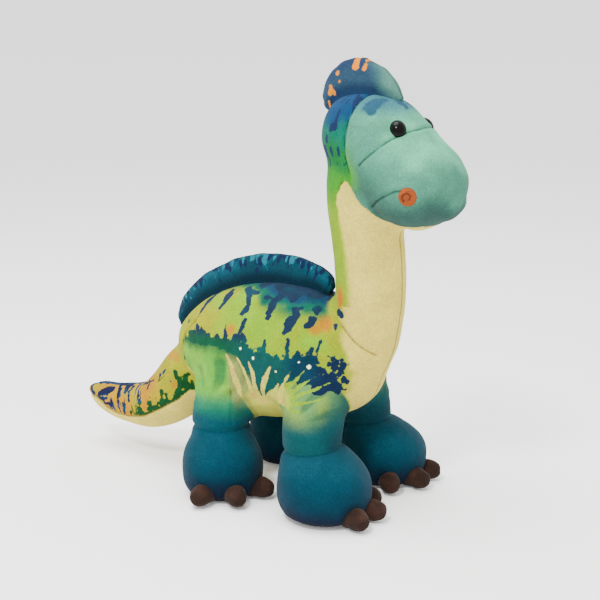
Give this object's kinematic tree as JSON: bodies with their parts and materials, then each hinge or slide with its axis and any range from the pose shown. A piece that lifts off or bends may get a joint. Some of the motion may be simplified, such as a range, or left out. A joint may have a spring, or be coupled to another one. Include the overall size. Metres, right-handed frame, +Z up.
{
  "type": "stuffed dinosaur",
  "caption": "Standing long-necked stuffed dinosaur with printed plush panels, soft crests, stubby claws, bead eyes and limbs, neck and tail that flex at their seams.",
  "frame": {"origin": "on the floor under the middle of the toy's overall box", "axes": "+X is forward, from tail to head; +Y is the toy's left; +Z is up"},
  "size_m": [0.3711, 0.1906, 0.3534],
  "materials": {
    "fibrefill": "loose fibre",
    "washer_plastic": "moulded",
    "eye_plastic": "glossy",
    "nostril_felt": "stitched felt",
    "claw_plush": "short pile",
    "foot_plush": "printed short pile",
    "leg_plush": "printed short pile, light at the top and teal below",
    "side_plush": "printed short pile, yellow-green with dark teal and navy blotches",
    "back_crest_plush": "printed short pile",
    "head_crest_plush": "printed short pile with orange dabs",
    "neck_plush": "printed short pile",
    "crown_plush": "printed short pile",
    "muzzle_plush": "short pile",
    "tail_plush": "printed short pile",
    "belly_plush": "short pile"
  },
  "bodies": {
    "torso": {"torso_panel_left": "side_plush", "torso_panel_right": "side_plush", "belly_gusset": "belly_plush", "torso_stuffing": "fibrefill", "back_crest_left": "back_crest_plush", "back_crest_right": "back_crest_plush", "back_crest_stuffing": "fibrefill"},
    "neck": {"neck_panel_left": "neck_plush", "neck_panel_right": "neck_plush", "throat_panel_left": "belly_plush", "throat_panel_right": "belly_plush", "neck_stuffing": "fibrefill"},
    "head": {"crown_panel_left": "crown_plush", "crown_panel_right": "crown_plush", "muzzle_panel_left": "muzzle_plush", "muzzle_panel_right": "muzzle_plush", "chin_panel": "belly_plush", "head_stuffing": "fibrefill", "head_crest_left": "head_crest_plush", "head_crest_right": "head_crest_plush", "head_crest_stuffing": "fibrefill", "eye_left": "eye_plastic", "eye_right": "eye_plastic", "eye_washer_left": "washer_plastic", "eye_washer_right": "washer_plastic", "nostril_left": "nostril_felt", "nostril_right": "nostril_felt"},
    "tail": {"tail_panel_left": "tail_plush", "tail_panel_right": "tail_plush", "tail_underside": "belly_plush", "tail_stuffing": "fibrefill"},
    "front_left_leg": {"front_left_leg_sleeve": "leg_plush", "front_left_foot_cover": "foot_plush", "front_left_sole": "foot_plush", "front_left_claws": "claw_plush", "front_left_stuffing": "fibrefill"},
    "front_right_leg": {"front_right_leg_sleeve": "leg_plush", "front_right_foot_cover": "foot_plush", "front_right_sole": "foot_plush", "front_right_claws": "claw_plush", "front_right_stuffing": "fibrefill"},
    "hind_left_leg": {"hind_left_leg_sleeve": "leg_plush", "hind_left_foot_cover": "foot_plush", "hind_left_sole": "foot_plush", "hind_left_claws": "claw_plush", "hind_left_stuffing": "fibrefill"},
    "hind_right_leg": {"hind_right_leg_sleeve": "leg_plush", "hind_right_foot_cover": "foot_plush", "hind_right_sole": "foot_plush", "hind_right_claws": "claw_plush", "hind_right_stuffing": "fibrefill"}
  },
  "joints": [
    {"name": "neck_bend", "type": "hinge", "parent": "torso", "child": "neck", "pos_m": [0.0986, 0, 0.124], "axis": [0, 1, 0], "range_deg": [-5, 5], "stiffness_Nm_per_rad": 4},
    {"name": "head_nod", "type": "hinge", "parent": "neck", "child": "head", "pos_m": [0.0986, 0, 0.266], "axis": [0, 1, 0], "range_deg": [-7, 5], "stiffness_Nm_per_rad": 2.5},
    {"name": "tail_swing", "type": "hinge", "parent": "torso", "child": "tail", "pos_m": [-0.0514, 0, 0.095], "axis": [0, 0, 1], "range_deg": [-12, 12], "stiffness_Nm_per_rad": 1},
    {"name": "front_left_leg_swing", "type": "hinge", "parent": "torso", "child": "front_left_leg", "pos_m": [0.0796, 0.036, 0.084], "axis": [0, 1, 0], "range_deg": [-4, 4], "stiffness_Nm_per_rad": 4},
    {"name": "front_right_leg_swing", "type": "hinge", "parent": "torso", "child": "front_right_leg", "pos_m": [0.0796, -0.036, 0.084], "axis": [0, 1, 0], "range_deg": [-4, 4], "stiffness_Nm_per_rad": 4},
    {"name": "hind_left_leg_swing", "type": "hinge", "parent": "torso", "child": "hind_left_leg", "pos_m": [-0.0064, 0.036, 0.084], "axis": [0, 1, 0], "range_deg": [-4, 4], "stiffness_Nm_per_rad": 4},
    {"name": "hind_right_leg_swing", "type": "hinge", "parent": "torso", "child": "hind_right_leg", "pos_m": [-0.0064, -0.036, 0.084], "axis": [0, 1, 0], "range_deg": [-4, 4], "stiffness_Nm_per_rad": 4}
  ]
}
